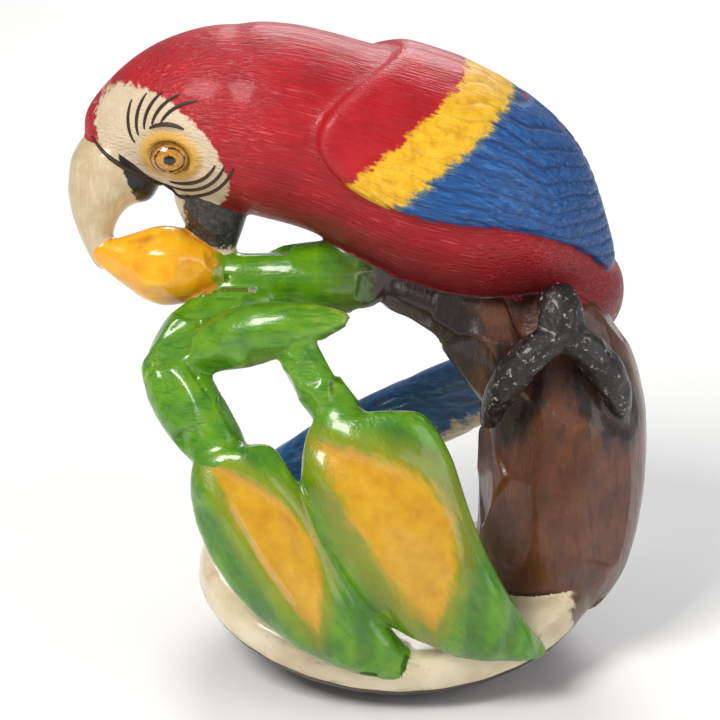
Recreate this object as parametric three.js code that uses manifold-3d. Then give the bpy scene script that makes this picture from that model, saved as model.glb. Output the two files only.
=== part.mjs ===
// A scarlet macaw carved from a single palm nut. The bird bends over a brown branch and bites a
// yellow fruit; two broad leaves hang from a green stalk in front, the long tail curls round
// behind, and the bottom of the nut, with its dark skin, is left as the base.
// Millimetres, +Z up. The bird faces -X, its left side faces -Y, and the foot rests on z = 0.
import * as THREE from 'three';
import { mergeVertices } from 'three/addons/utils/BufferGeometryUtils.js';
import Module from 'manifold-3d';

const wasm = await Module();
wasm.setup();

// Driving dimensions.
const nutWidth = 48; // along the bird
const nutDepth = 37; // from the leaves in front to the tail behind
const nutHeight = 56;
const seam = 0.3; // groove left between neighbouring carved elements
const skinThickness = 1; // natural nut skin under the base
const bodyGirth = 9; // half the thickness of the bird's body, the fattest limb
const wingRelief = 1.3; // how far a wing stands proud of the body
const leafWidth = 11; // of the broader leaf
const toeWidth = 3.2;
const workWidth = 2 * nutWidth; // longer than the whole carving, for cutting blocks

const birdMiddle = nutDepth / 24; // y of the bird's plane of symmetry, just behind the nut's middle
const leafFront = -nutDepth / 3; // y of the leaves' ends
const depthAxis = new THREE.Vector3(0, 1, 0);

const finishes = {
  redPaint: { color: '#b01722', roughness: 0.42, metalness: 0 },
  yellowPaint: { color: '#f0b41c', roughness: 0.3, metalness: 0 },
  wingPaint: { color: '#2c63a6', roughness: 0.42, metalness: 0 },
  bluePaint: { color: '#245a94', roughness: 0.4, metalness: 0 },
  greenPaint: { color: '#4fa315', roughness: 0.32, metalness: 0 },
  brownPaint: { color: '#6b3d22', roughness: 0.35, metalness: 0 },
  blackPaint: { color: '#26221f', roughness: 0.4, metalness: 0 },
  ivory: { color: '#e9dfc2', roughness: 0.3, metalness: 0 },
  amberPaint: { color: '#b98a2e', roughness: 0.25, metalness: 0 },
  nutSkin: { color: '#3a2417', roughness: 0.6, metalness: 0 },
};

// A place in the carving: across from its middle, back from its middle, and up from its foot.
function at(x, y, z) {
  return new THREE.Vector3(x, y, z);
}

// Landmarks where one element meets the next.
const forehead = at(-22, birdMiddle, 45.5);
const rump = at(20, birdMiddle, 34);
const jaw = at(-13, birdMiddle - 0.5, 43.5);
const beakTip = at(-21, birdMiddle - 2, 34.5);
const fruitMiddle = at(-16, -1, 35);
const fork = at(4, 0, 34); // where the fruit's stem leaves the bough
const elbow = at(-16, -6.5, 28); // where the leaf stalk bends forward
const stalkBranching = at(-5, -8.5, 31.5); // where the second leaf leaves the crossbar
const leftShoulder = at(-10, leafFront, 23.5);
const rightShoulder = at(1, leafFront, 26.5);
const ankle = at(17, -6.5, 31);
const trunkFoot = at(16, -4, 4);

// Signed power, which turns a circle's sine or cosine into that of a squarer oval.
function signedPower(value, power) {
  return Math.sign(value) * Math.abs(value) ** power;
}

// The route from the first place to the last, pulled towards the places between them.
function bowed(...places) {
  const Curve = places.length === 4 ? THREE.CubicBezierCurve3 : THREE.QuadraticBezierCurve3;
  return new Curve(...places);
}

// A smooth route through places worked out by a formula of the fraction along it.
function worked(placeAt, steps = 8) {
  return new THREE.CatmullRomCurve3(Array.from({ length: steps + 1 }, (_, i) => placeAt(i / steps)));
}

// Numbers spread evenly along a limb, read smoothly at any fraction of it.
function spread(numbers, fraction) {
  const points = numbers.map((number) => new THREE.Vector2(number, 0));
  return new THREE.SplineCurve(points).getPoint(fraction).x;
}

// A carved limb: an oval section that follows a route and is rounded at both ends. high and deep
// are its greatest half sizes across the route; profile, and thickness for the depth, say what
// share of them it has along the way. grow swells the limb all round; bluntness near 0 squares
// its ends off; squareness above 2 flattens its sides; cup bends the section's height, and dish
// its depth, out of their plane.
function limb(route, shape) {
  const { high, deep, profile, thickness = profile, grow = 0, bluntness = 0.35 } = shape;
  const { squareness = 2, cup = 0, dish = 0, around = 12, along = 11, facing = () => depthAxis } = shape;
  const geometry = new THREE.SphereGeometry(1, around, along);
  const vertices = geometry.getAttribute('position');
  for (let i = 0; i < vertices.count; i += 1) {
    const onBall = new THREE.Vector3().fromBufferAttribute(vertices, i);
    const fraction = THREE.MathUtils.clamp((1 - onBall.y) / 2, 0, 1);
    const ring = Math.sqrt(Math.max(0, 1 - onBall.y ** 2));
    const middle = route.getPoint(fraction);
    const forward = route.getTangent(fraction);
    const facingHere = facing(middle);
    const deepWay = facingHere.clone().addScaledVector(forward, -facingHere.dot(forward)).normalize();
    const highWay = new THREE.Vector3().crossVectors(deepWay, forward);
    const turn = ring > 0 ? [onBall.x / ring, onBall.z / ring] : [0, 0];
    const [over, outward] = turn.map((part) => ring ** bluntness * signedPower(part, 2 / squareness));
    const rise = (high * Math.max(spread(profile, fraction), 0) + grow) * over;
    const reach = (deep * Math.max(spread(thickness, fraction), 0) + grow) * outward;
    middle.addScaledVector(forward, -onBall.y * grow);
    middle.addScaledVector(highWay, rise + dish * reach ** 2);
    middle.addScaledVector(deepWay, reach + cup * rise ** 2);
    vertices.setXYZ(i, middle.x, middle.y, middle.z);
  }
  return solid(geometry);
}

// Turns a closed three.js geometry into a solid that can be joined and cut.
function solid(geometry) {
  const bare = geometry.clone();
  bare.deleteAttribute('normal');
  bare.deleteAttribute('uv');
  const welded = mergeVertices(bare, 1e-5);
  return new wasm.Manifold(new wasm.Mesh({
    numProp: 3,
    vertProperties: new Float32Array(welded.getAttribute('position').array),
    triVerts: new Uint32Array(welded.getIndex().array),
  }));
}

// A block given by its lowest and highest corners.
function block(low, high) {
  const size = high.clone().sub(low);
  const box = new THREE.BoxGeometry(size.x, size.y, size.z);
  box.translate(...low.clone().add(high).multiplyScalar(0.5).toArray());
  return solid(box);
}

// Cuts a shape back from each neighbour.
function clearOf(shape, ...neighbours) {
  return neighbours.reduce((left, neighbour) => left.subtract(neighbour), shape);
}

// A limb together with the swollen copy of it that cuts its neighbours back by one seam.
function carved(route, shape) {
  return { shape: limb(route, shape), room: limb(route, { ...shape, grow: seam }) };
}

// Overlapping carved limbs as one.
function joined(...limbs) {
  return limbs.reduce((all, next) => ({ shape: all.shape.add(next.shape), room: all.room.add(next.room) }));
}

// The same place on the bird's other side.
function mirrored(place) {
  return at(place.x, 2 * birdMiddle - place.y, place.z);
}

// --- Bird ---------------------------------------------------------------------------------

// Head, neck, back and belly are one sweep from the forehead to the rump, split at the nape.
const birdRoute = bowed(forehead, at(-10, birdMiddle, 52), at(8, birdMiddle, 43), rump);
const birdShape = {
  high: bodyGirth,
  deep: bodyGirth,
  profile: [0.4, 0.75, 0.9, 0.9, 1, 0.9, 0.35],
  bluntness: 0.4,
  around: 20,
  along: 26,
};
const napeX = -nutWidth / 5;
const bird = carved(birdRoute, birdShape);
const headSide = block(at(-workWidth, -workWidth, 0), at(napeX - seam / 2, workWidth, workWidth));
const bodySide = block(at(napeX + seam / 2, -workWidth, 0), at(workWidth, workWidth, workWidth));
const head = bird.shape.intersect(headSide);
const body = bird.shape.intersect(bodySide);

// The hooked upper half of the beak reaches down to the fruit, and the lower half presses on it.
const upperBeak = carved(bowed(at(-16.5, birdMiddle, 44.5), at(-23.5, birdMiddle - 0.5, 43.5), beakTip), {
  high: 4.2,
  deep: 3.8,
  profile: [1, 1, 0.7, 0.4, 0.15],
  thickness: [0.9, 1, 0.8, 0.5, 0.2],
});
const lowerBeak = carved(bowed(jaw, at(-11.5, birdMiddle - 1, 40), at(-11, birdMiddle - 2, 36)), {
  high: 3,
  deep: 3,
  profile: [0.95, 1, 0.8, 0.4],
});

// An eye bulges from each cheek.
const eyeHalf = at(1.7, 1, 1.4);
const eyeCentre = at(-15, birdMiddle - 5.7, 45.5);

function eyeball(centre, grow) {
  const ball = new THREE.SphereGeometry(1, 12, 8);
  ball.scale(eyeHalf.x + grow, eyeHalf.y + grow, eyeHalf.z + grow);
  ball.translate(centre.x, centre.y, centre.z);
  return solid(ball);
}

function eye(centre) {
  return { shape: eyeball(centre, 0), room: eyeball(centre, seam) };
}

const leftEye = eye(eyeCentre);
const rightEye = eye(mirrored(eyeCentre));

// Side view of a folded wing: from over the back round the shoulder, along the flank to the tip,
// and back outside the bird.
const wingOutline = new THREE.Shape();
wingOutline.moveTo(18, 60);
wingOutline.bezierCurveTo(4, 53, -7, 51, -2, 45);
wingOutline.quadraticCurveTo(2, 41, 10, 40.5);
wingOutline.quadraticCurveTo(19, 39.5, 23, 31.5);
wingOutline.lineTo(30, 31.5);
wingOutline.lineTo(30, 60);

// A shell over the body inside the wing outline, on the side that lies between two depths.
function wing(fromY, toY) {
  const shell = limb(birdRoute, { ...birdShape, grow: wingRelief }).subtract(bird.room);
  const outer = limb(birdRoute, { ...birdShape, grow: wingRelief + seam });
  const extrusion = { depth: toY - fromY, bevelEnabled: false, curveSegments: 9 };
  const trim = new THREE.ExtrudeGeometry(wingOutline, extrusion);
  trim.rotateX(Math.PI / 2);
  trim.translate(0, toY, 0);
  return { shape: shell.intersect(solid(trim)), room: outer.intersect(solid(trim)) };
}

const leftWing = wing(-workWidth, birdMiddle - seam / 2);
const rightWing = wing(birdMiddle + seam / 2, workWidth);

// Red feathers over the root of the tail.
const covertsEnd = at(20.5, birdMiddle + 7.5, 27);
const covertsRoute = bowed(at(17.5, birdMiddle, 35.5), at(21, birdMiddle + 3, 31), covertsEnd);
const coverts = carved(covertsRoute, {
  high: 3.5,
  deep: 3.7,
  profile: [1, 1, 0.8, 0.65],
});

// The tail is a flat band that sinks as it curls round the back of the nut, and faces outward.
const tailCentre = at(4, 0, 0);
const tailTop = nutHeight / 2;
const tailLow = nutHeight / 6;
const tailRadius = nutDepth / 2 - 1;
const tailSweep = [THREE.MathUtils.degToRad(25), THREE.MathUtils.degToRad(165)];

function onTail(fraction) {
  const turn = THREE.MathUtils.lerp(...tailSweep, fraction);
  const height = THREE.MathUtils.lerp(tailLow, tailTop, (1 - fraction) ** 2.2);
  return at(tailCentre.x + tailRadius * Math.cos(turn), tailCentre.y + tailRadius * Math.sin(turn), height);
}

const tail = carved(worked(onTail), {
  high: 3.6,
  deep: 1.8,
  profile: [0.8, 0.9, 1, 0.9, 0.6, 0.3],
  thickness: [1, 1, 1, 1, 0.8, 0.5],
  squareness: 2.6,
  around: 10,
  along: 22,
  facing: (place) => at(place.x - tailCentre.x, place.y - tailCentre.y, 0).normalize(),
});

// A leg comes down from the belly, and its toes clasp the branch.
function toe(...places) {
  return carved(bowed(...places), {
    high: toeWidth / 2,
    deep: toeWidth / 2,
    profile: [1, 0.9, 0.75, 0.45],
    around: 8,
    along: 8,
  });
}

function leg(...places) {
  return carved(bowed(...places), { high: 2, deep: 1.5, profile: [0.8, 0.9, 1], around: 8, along: 8 });
}

const hip = at(16.5, -4.5, 34.5);
const knee = at(17, -6, 33);
const frontToe = [ankle, at(12, -8.5, 29), at(11, -5, 22)];
const rearToe = [ankle, at(22, -7.5, 29), at(22.5, -3.5, 22)];
const leftFoot = joined(leg(hip, knee, ankle), toe(...frontToe), toe(...rearToe));

// The tail's root covers the right foot's rear toe.
const rightFoot = joined(leg(...[hip, knee, ankle].map(mirrored)), toe(...frontToe.map(mirrored)));

// --- Branch, fruit and leaves ---------------------------------------------------------------

// The trunk stands on the back of the base, and its bough bends forward under the bird.
const trunk = carved(bowed(trunkFoot, at(19, 3, 18), at(17, birdMiddle, 34)), {
  high: 7,
  deep: 8,
  profile: [0.75, 0.95, 1, 1, 0.95, 0.75, 0.5],
  around: 16,
  along: 14,
});
const bough = carved(bowed(at(15.5, birdMiddle, 23), at(12, 1, 31.5), at(2, 0, 33.5)), {
  high: 5,
  deep: 6,
  profile: [1, 0.9, 0.6, 0.5],
});
const branch = joined(trunk, bough);

const fruit = carved(bowed(at(-22, fruitMiddle.y, 36.5), fruitMiddle, at(-11, fruitMiddle.y, 34.8)), {
  high: 3.2,
  deep: 3.3,
  profile: [0.3, 0.6, 1, 0.9, 0.7],
});

// The stem that carries the fruit runs back to the bough, and thickens where the stalk leaves it.
const fruitStem = carved(bowed(at(-12, fruitMiddle.y, 34.5), at(-5, fruitMiddle.y, 34), fork), {
  high: 3,
  deep: 3,
  profile: [0.75, 0.65, 0.9, 1, 0.75],
});

// The leaf stalk leaves the fruit's stem, bends forward at an elbow and runs back as a crossbar.
const stalkRoot = carved(bowed(at(-4.5, -1.5, 33), at(-15, -4, 32), at(-15.5, elbow.y, elbow.z)), {
  high: 2,
  deep: 2,
  profile: [0.75, 0.95, 1, 0.9],
});
const crossbar = carved(bowed(elbow, at(-9, stalkBranching.y, 32.5), at(0, stalkBranching.y - 1, 33.5)), {
  high: 2.4,
  deep: 2.1,
  profile: [0.6, 0.75, 1, 0.75, 0.25],
});
const stalk = joined(stalkRoot, crossbar);
const leftPetiole = carved(bowed(at(-16, elbow.y, 29.5), at(-14.5, -9, 26.5), at(-9.5, leafFront, 21)), {
  high: 2.6,
  deep: 1.9,
  profile: [0.9, 1, 0.9],
});
const rightPetiole = carved(bowed(stalkBranching, at(-4, -10.5, 28.5), at(1, leafFront, 23.5)), {
  high: 2,
  deep: 1.7,
  profile: [1, 0.85, 1],
});

// Each leaf is a thick folded blade that bulges with the nut and narrows to a tip on the base.
function leaf(shoulder, bulge, tip, width) {
  return carved(bowed(shoulder, bulge, tip), {
    high: width / 2,
    deep: 2.2,
    profile: [0.9, 1, 0.95, 0.85, 0.7, 0.45, 0.1],
    thickness: [0.7, 0.9, 1, 1, 0.95, 0.8, 0.5],
    bluntness: 0.18,
    squareness: 2.5,
    cup: 0.03,
    around: 14,
    along: 14,
  });
}

const leftLeaf = leaf(leftShoulder, at(-8, -17, 10), at(7, -13, 3), 0.85 * leafWidth);
const rightLeaf = leaf(rightShoulder, at(2, -18, 12), at(16, -12.5, 5), 1.2 * leafWidth);

// --- Base -----------------------------------------------------------------------------------

// The bottom of the nut is a dished slab that follows its round from side to side.
const baseRadius = nutHeight / 2;
const baseCentre = at(4, 0, baseRadius + 2);
const baseSweep = [THREE.MathUtils.degToRad(232), THREE.MathUtils.degToRad(306)];

function slab(rise, halfDepth) {
  const onBottom = (fraction) => {
    const turn = THREE.MathUtils.lerp(...baseSweep, fraction);
    const across = baseCentre.x + baseRadius * Math.cos(turn);
    return at(across, 0, baseCentre.z + rise + baseRadius * Math.sin(turn));
  };
  return carved(worked(onBottom), {
    high: 2.5,
    deep: halfDepth,
    profile: [1, 1, 1],
    bluntness: 0.75,
    squareness: 2.8,
    dish: -0.006,
    around: 24,
    along: 16,
  });
}

const baseDepth = 0.4 * nutDepth;
const base = slab(skinThickness, baseDepth);
const skin = slab(0, baseDepth - seam);
const bottom = [base.room, skin.room];
const ground = block(at(-workWidth, -workWidth, -workWidth), at(workWidth, workWidth, 0));

// --- The carving ------------------------------------------------------------------------------

// The named solid as a mesh with its own material.
function element(name, shape, finish) {
  const { vertProperties, triVerts } = shape.getMesh();
  const geometry = new THREE.BufferGeometry();
  geometry.setAttribute('position', new THREE.BufferAttribute(new Float32Array(vertProperties), 3));
  geometry.setIndex(new THREE.BufferAttribute(new Uint32Array(triVerts), 1));
  geometry.computeVertexNormals();
  const mesh = new THREE.Mesh(geometry, new THREE.MeshStandardMaterial(finish));
  mesh.name = name;
  return mesh;
}

const { greenPaint } = finishes;
const wings = [leftWing.room, rightWing.room];
const perch = [branch.room, bird.room];
const secondLeaf = clearOf(rightLeaf.shape, rightPetiole.room, leftLeaf.room);
const model = new THREE.Group();
model.add(
  element('nut_skin', clearOf(skin.shape, base.room, ground), finishes.nutSkin),
  element('nut_base', base.shape, finishes.ivory),
  element('branch', clearOf(branch.shape, bird.room, coverts.room, ...bottom), finishes.brownPaint),
  element('bird_body', body, finishes.redPaint),
  element('bird_head', clearOf(head, leftEye.room, rightEye.room), finishes.redPaint),
  element('upper_beak', clearOf(upperBeak.shape, bird.room), finishes.ivory),
  element('lower_beak', clearOf(lowerBeak.shape, bird.room), finishes.blackPaint),
  element('left_eye', leftEye.shape, finishes.amberPaint),
  element('right_eye', rightEye.shape, finishes.amberPaint),
  element('left_wing', leftWing.shape, finishes.wingPaint),
  element('right_wing', rightWing.shape, finishes.wingPaint),
  element('tail_coverts', clearOf(coverts.shape, bird.room, ...wings), finishes.redPaint),
  element('tail', clearOf(tail.shape, coverts.room, branch.room, ...bottom), finishes.bluePaint),
  element('left_foot', clearOf(leftFoot.shape, ...perch), finishes.blackPaint),
  element('right_foot', clearOf(rightFoot.shape, ...perch, coverts.room), finishes.blackPaint),
  element('fruit', clearOf(fruit.shape, upperBeak.room, lowerBeak.room), finishes.yellowPaint),
  element('fruit_stem', clearOf(fruitStem.shape, fruit.room, lowerBeak.room, ...perch), greenPaint),
  element('leaf_stalk', clearOf(stalk.shape, fruitStem.room), greenPaint),
  element('left_petiole', clearOf(leftPetiole.shape, stalk.room), greenPaint),
  element('left_leaf', clearOf(leftLeaf.shape, leftPetiole.room, ...bottom), greenPaint),
  element('right_petiole', clearOf(rightPetiole.shape, stalk.room), greenPaint),
  element('right_leaf', clearOf(secondLeaf, branch.room, ...bottom), greenPaint),
);

// Stands the carving with the middle of its box over the origin.
const extent = new THREE.Box3().setFromObject(model);
const middle = extent.getCenter(new THREE.Vector3());
model.position.set(-middle.x, -middle.y, -extent.min.z);

export default model;
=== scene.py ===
import math

import bmesh
import bpy
import numpy as np
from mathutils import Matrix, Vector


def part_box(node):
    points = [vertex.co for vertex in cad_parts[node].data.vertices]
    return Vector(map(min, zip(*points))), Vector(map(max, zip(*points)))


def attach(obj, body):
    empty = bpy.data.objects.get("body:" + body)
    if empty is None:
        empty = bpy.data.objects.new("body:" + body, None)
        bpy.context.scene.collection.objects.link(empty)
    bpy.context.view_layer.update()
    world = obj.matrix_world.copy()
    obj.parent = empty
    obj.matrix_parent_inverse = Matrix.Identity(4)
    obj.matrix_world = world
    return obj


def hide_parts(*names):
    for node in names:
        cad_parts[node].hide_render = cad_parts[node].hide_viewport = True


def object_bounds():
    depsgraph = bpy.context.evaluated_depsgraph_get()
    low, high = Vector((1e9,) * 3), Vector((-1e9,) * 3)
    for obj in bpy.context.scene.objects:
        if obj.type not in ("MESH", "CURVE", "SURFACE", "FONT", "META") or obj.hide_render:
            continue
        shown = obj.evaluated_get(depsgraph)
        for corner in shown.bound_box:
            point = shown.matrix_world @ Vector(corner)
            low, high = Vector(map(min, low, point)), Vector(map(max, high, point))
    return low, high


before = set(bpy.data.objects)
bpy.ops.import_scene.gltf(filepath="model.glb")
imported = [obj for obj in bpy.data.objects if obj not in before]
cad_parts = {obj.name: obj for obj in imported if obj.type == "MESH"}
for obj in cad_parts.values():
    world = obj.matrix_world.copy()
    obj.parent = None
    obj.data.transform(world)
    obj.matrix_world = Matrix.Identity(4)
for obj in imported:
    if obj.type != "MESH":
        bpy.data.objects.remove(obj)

import openvdb as vdb
from mathutils import Vector
from mathutils.bvhtree import BVHTree

cad_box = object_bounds()

# --- The nut ------------------------------------------------------------------------------------
# One palm nut is the stock for the whole carving, so every element flows into the next with no
# real joint. The frame's solids are melted together on a fine lattice, softened as a file and
# abrasive paper would, and each named piece is then lifted off that one surface.

mm = 0.001
cell = 0.2 * mm
reach = 10  # cells of distance kept on each side of a surface
melt = 0.36 * mm  # size of the fillet where two elements meet
seam = 0.3 * mm  # gap that the frame keeps between neighbouring solids
lap = 0.4 * mm  # how far a piece runs on under its neighbour
bark_yield = 0.5 * mm  # how much ground the thin skin gives up to whatever it meets
lap_slope = 0.12  # how fast it sinks below the neighbour's surface

lattice_low = np.floor(np.array(cad_box[0]) / cell).astype(int) - reach - 4
lattice_high = np.ceil(np.array(cad_box[1]) / cell).astype(int) + reach + 4
lattice_size = lattice_high - lattice_low

# Which solids make each visible piece, and how far its faceted surface is softened.
elements = {
    "plumage": (["bird_head", "bird_body", "tail_coverts"], 0.9 * mm),
    "left_folded_wing": (["left_wing"], 0.65 * mm),
    "right_folded_wing": (["right_wing"], 0.65 * mm),
    "beak_top": (["upper_beak"], 0.45 * mm),
    "beak_bottom": (["lower_beak"], 0.45 * mm),
    "long_tail": (["tail"], 0.55 * mm),
    "left_claws": (["left_foot"], 0.4 * mm),
    "right_claws": (["right_foot"], 0.4 * mm),
    "brown_branch": (["branch"], 0.7 * mm),
    "yellow_fruit": (["fruit"], 0.5 * mm),
    "green_stem": (["fruit_stem"], 0.5 * mm),
    "bent_stalk": (["leaf_stalk", "left_petiole", "right_petiole"], 0.45 * mm),
    "left_blade": (["left_leaf"], 0.5 * mm),
    "right_blade": (["right_leaf"], 0.5 * mm),
    "ivory_base": (["nut_base"], 0.5 * mm),
    "bark_rim": (["nut_skin"], 0.35 * mm),
}


def node_triangles(name):
    """A solid's welded points and its triangles."""
    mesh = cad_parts[name].data
    loose = np.zeros(len(mesh.vertices) * 3, np.float32)
    mesh.vertices.foreach_get("co", loose)
    corners = np.zeros(len(mesh.polygons) * 3, np.int32)
    mesh.polygons.foreach_get("vertices", corners)
    loose = loose.reshape(-1, 3)
    welded, where = np.unique(np.round(loose / (0.001 * mm)).astype(np.int64), axis=0, return_inverse=True)
    points = (welded * (0.001 * mm)).astype(np.float32)
    return points, where.reshape(-1)[corners].reshape(-1, 3).astype(np.uint32)


def softened(field, amount):
    """The field blurred by a bell curve whose width is given in metres."""
    width = amount / cell
    taps = np.arange(-math.ceil(2.5 * width), math.ceil(2.5 * width) + 1)
    weights = np.exp(-0.5 * (taps / width) ** 2)
    weights = (weights / weights.sum()).astype(np.float32)
    for axis in range(3):
        padding = [(0, 0)] * 3
        padding[axis] = (len(taps) // 2, len(taps) // 2)
        padded = np.pad(field, padding, mode="edge")
        field = sum(
            weight * np.take(padded, np.arange(i, i + field.shape[axis]), axis=axis)
            for i, weight in enumerate(weights)
        )
    return field


def part_of_lattice(low, high):
    """Slices of the lattice that cover a box given in metres, with room round it."""
    first = np.floor(np.array(low) / cell).astype(int) - reach - 2 - lattice_low
    last = np.ceil(np.array(high) / cell).astype(int) + reach + 3 - lattice_low
    first = np.maximum(first, 0)
    last = np.minimum(last, lattice_size)
    return tuple(slice(a, b) for a, b in zip(first, last))


def box_of(nodes):
    corners = [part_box(node) for node in nodes]
    return np.min([low for low, high in corners], axis=0), np.max([high for low, high in corners], axis=0)


def distance_field(nodes, part):
    """Distance to the nearest of some solids, negative inside, over part of the lattice."""
    start = lattice_low + np.array([s.start for s in part])
    size = [s.stop - s.start for s in part]
    flush = seam / 2 / math.log(2)  # bridges the seam between two solids without a bump
    total = np.zeros(size, np.float32)
    for node in nodes:
        points, triangles = node_triangles(node)
        scale = vdb.createLinearTransform(voxelSize=cell)
        grid = vdb.FloatGrid.createLevelSetFromPolygons(
            points, triangles=triangles, transform=scale, halfWidth=reach
        )
        field = np.zeros(size, np.float32)
        grid.copyToArray(field, ijk=tuple(int(v) for v in start))
        total += np.exp(-field / flush)
    return -flush * np.log(total)


part_of = {name: part_of_lattice(*box_of(nodes)) for name, (nodes, soft) in elements.items()}
weight_sum = np.zeros(lattice_size, np.float32)
closest = np.full(lattice_size, reach * cell, np.float32)
second = np.full(lattice_size, reach * cell, np.float32)
owner = np.full(lattice_size, -1, np.int8)
for index, (name, (nodes, soft)) in enumerate(elements.items()):
    part = part_of[name]
    own = softened(distance_field(nodes, part), soft) - seam / 2
    weight_sum[part] += np.exp(-own / melt)
    if name == "bark_rim":
        own = own + bark_yield
    nearer = own < closest[part]
    second[part] = np.where(nearer, closest[part], np.minimum(second[part], own))
    closest[part] = np.where(nearer, own, closest[part])
    owner[part] = np.where(nearer, index, owner[part])
surface = -melt * np.log(np.maximum(weight_sum, np.exp(-reach * cell / melt).astype(np.float32)))
del weight_sum

# --- Plumage: head, body and the feathers over the tail's root -----------------------------------
# The bird's body is filed smooth, scratched all over with fine feather lines and painted
# crimson, with the bare cheeks left in cream nut. The red wears pale on the ridges of the
# scratches, with a painted highlight there too, and is darkened under the belly as painted shade.


def places(part):
    """x, y and z in metres over part of the lattice, ready to broadcast."""
    axes = [
        ((np.arange(s.start, s.stop) + low) * cell).astype(np.float32)
        for s, low in zip(part, lattice_low)
    ]
    return np.ix_(*axes)


def sampled(field, points):
    """A lattice field read between its cells at some points."""
    place = points / cell - lattice_low
    corner = np.clip(np.floor(place).astype(int), 0, lattice_size - 2)
    blend = place - corner
    total = np.zeros(len(points))
    for dx in (0, 1):
        for dy in (0, 1):
            for dz in (0, 1):
                share = np.abs(1 - np.array([dx, dy, dz]) - blend).prod(axis=1)
                total += share * field[corner[:, 0] + dx, corner[:, 1] + dy, corner[:, 2] + dz]
    return total


def mesh_points(mesh):
    points = np.zeros(len(mesh.vertices) * 3, np.float32)
    mesh.vertices.foreach_get("co", points)
    return points.reshape(-1, 3)


def new_object(name, points, faces):
    """A smooth-shaded object from arrays of points and faces."""
    mesh = bpy.data.meshes.new(name)
    mesh.from_pydata(points.tolist(), [], faces.tolist())
    mesh.shade_smooth()
    made = bpy.data.objects.new(name, mesh)
    bpy.context.scene.collection.objects.link(made)
    return made


def lifted(name):
    """The piece of the melted surface that belongs to one element, as a closed mesh."""
    index = list(elements).index(name)
    part = part_of[name]
    others = np.where(owner[part] == index, second[part], closest[part])
    mine = np.where(owner[part] == index, closest[part], second[part])
    beyond = (mine - others) / 2
    sunk = surface[part] + lap_slope * np.clip(beyond, 0, lap)
    field = np.maximum(sunk, beyond - lap)
    edge = 3 * cell
    field = np.clip(field, -edge, edge)
    for axis in range(3):
        for end in (0, -1):
            rim = [slice(None)] * 3
            rim[axis] = end
            field[tuple(rim)] = edge
    grid = vdb.FloatGrid(edge)
    grid.transform = vdb.createLinearTransform(voxelSize=cell)
    start = lattice_low + np.array([s.start for s in part])
    grid.copyFromArray(np.ascontiguousarray(field, dtype=np.float32), ijk=tuple(int(v) for v in start))
    points, quads = grid.convertToQuads(isovalue=0)
    quads = biggest_shell(points, quads.astype(np.int64))
    used, renumbered = np.unique(quads, return_inverse=True)
    points = points[used]
    quads = renumbered.reshape(-1, 4)
    a, b, c = points[quads[:, 0]], points[quads[:, 1]], points[quads[:, 2]]
    if np.einsum("ij,ij->i", a, np.cross(b, c)).sum() < 0:
        quads = quads[:, ::-1]
    return new_object(name, points, quads)


def biggest_shell(points, quads):
    """The faces of the largest connected shell."""
    label = np.arange(len(points))
    while True:
        lowest = label[quads].min(axis=1)
        before = label.copy()
        for corner in range(4):
            np.minimum.at(label, quads[:, corner], lowest)
        label = label[label]
        if (label == before).all():
            break
    face_label = label[quads[:, 0]]
    names, counts = np.unique(face_label, return_counts=True)
    return quads[face_label == names[counts.argmax()]]


def set_attribute(piece, name, values):
    """Stores one number or one vector for each vertex."""
    kind = "FLOAT" if values.ndim == 1 else "FLOAT_VECTOR"
    field = "value" if values.ndim == 1 else "vector"
    stored = piece.data.attributes.new(name, kind, "POINT")
    stored.data.foreach_set(field, values.astype(np.float32).reshape(-1))


def finished(piece, slot, material, *nodes):
    """Gives a piece its material and its place in the frame."""
    piece.data.materials.append(material)
    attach(piece, "root")
    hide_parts(*nodes)


bulge_field = softened(surface, 0.55 * mm)


def mark_bulge(piece):
    """Stores how far the surface bulges: positive on edges, negative in hollows, which the finishes darken
    as painted shade.
    """
    set_attribute(piece, "bulge", sampled(bulge_field, mesh_points(piece.data)) / mm)


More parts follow.
